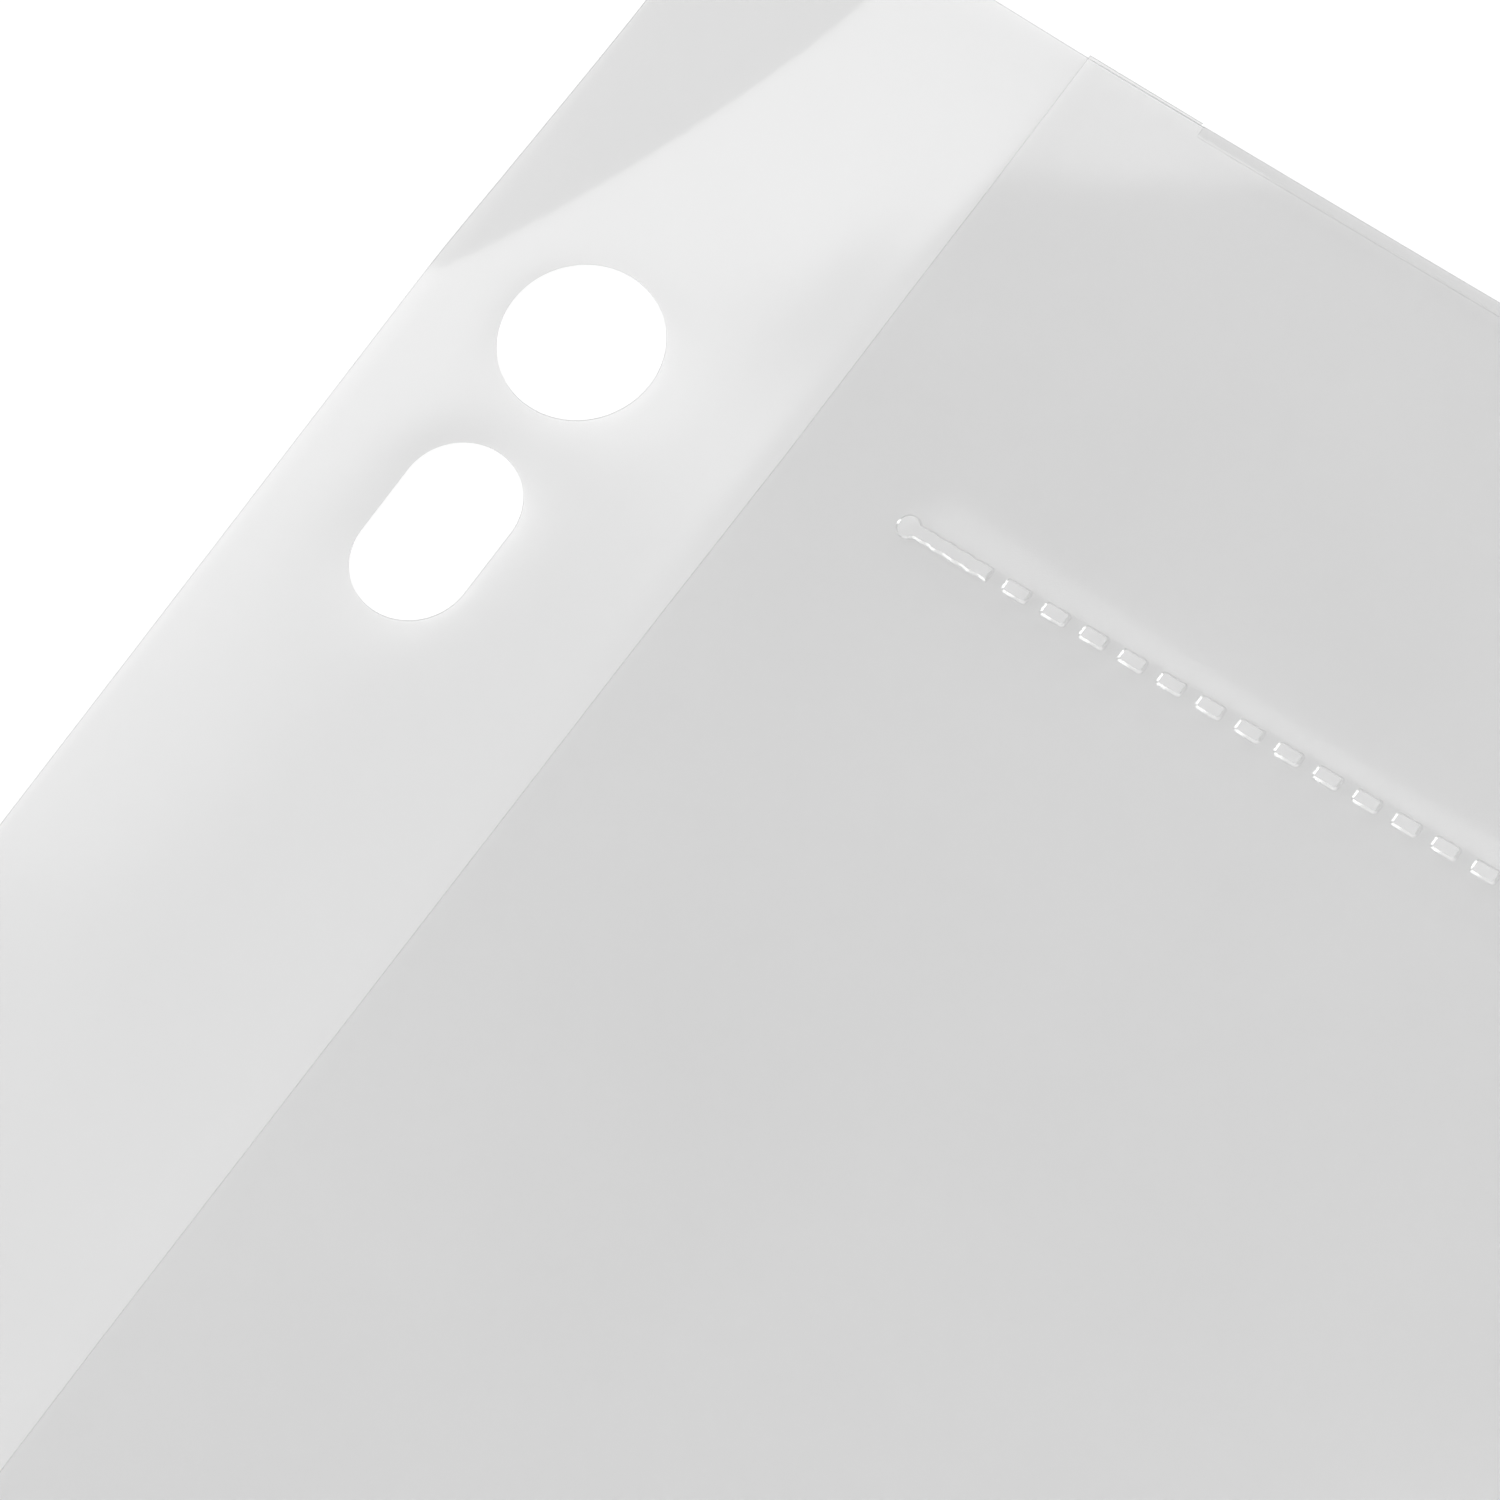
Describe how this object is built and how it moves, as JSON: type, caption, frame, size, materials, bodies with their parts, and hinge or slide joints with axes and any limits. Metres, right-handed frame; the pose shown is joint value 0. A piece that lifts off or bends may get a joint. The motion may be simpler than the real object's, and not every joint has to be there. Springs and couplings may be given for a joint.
{
  "type": "film negative sleeve",
  "caption": "Clear film page with welded pockets for strips of negatives, a free lip at the pocket mouths and a punched binding strip.",
  "frame": {"origin": "centre of the page on the table it lies on", "axes": "+X from the binding edge to the outer edge, +Y up the page to its top edge, +Z out of the front film"},
  "size_m": [0.235, 0.2922, 0.0004],
  "materials": {
    "back_film": "translucent satin film",
    "front_film": "clear gloss film",
    "weld": "melted film, embossed"
  },
  "bodies": {
    "page": {"back_sheet": "back_film", "front_sheet": "front_film", "top_seam": "weld", "bottom_seam": "weld", "outer_seam": "weld", "header_tack": "weld", "pocket_tack_1": "weld", "pocket_tack_2": "weld", "pocket_tack_3": "weld", "header_weld": "weld", "pocket_weld_1": "weld", "pocket_weld_2": "weld", "pocket_weld_3": "weld"},
    "strip": {"binding_strip": "back_film"},
    "lip": {"mouth_lip": "front_film"}
  },
  "joints": [
    {"name": "strip_fold", "type": "hinge", "parent": "page", "child": "strip", "pos_m": [-0.0971, 0, 0.00006], "axis": [0, 1, 0], "range_deg": [0, 90], "stiffness_Nm_per_rad": 0.001},
    {"name": "lip_lift", "type": "hinge", "parent": "page", "child": "lip", "pos_m": [-0.0904, 0, 0.00032], "axis": [0, 1, 0], "range_deg": [0, 40], "stiffness_Nm_per_rad": 0.00004}
  ]
}
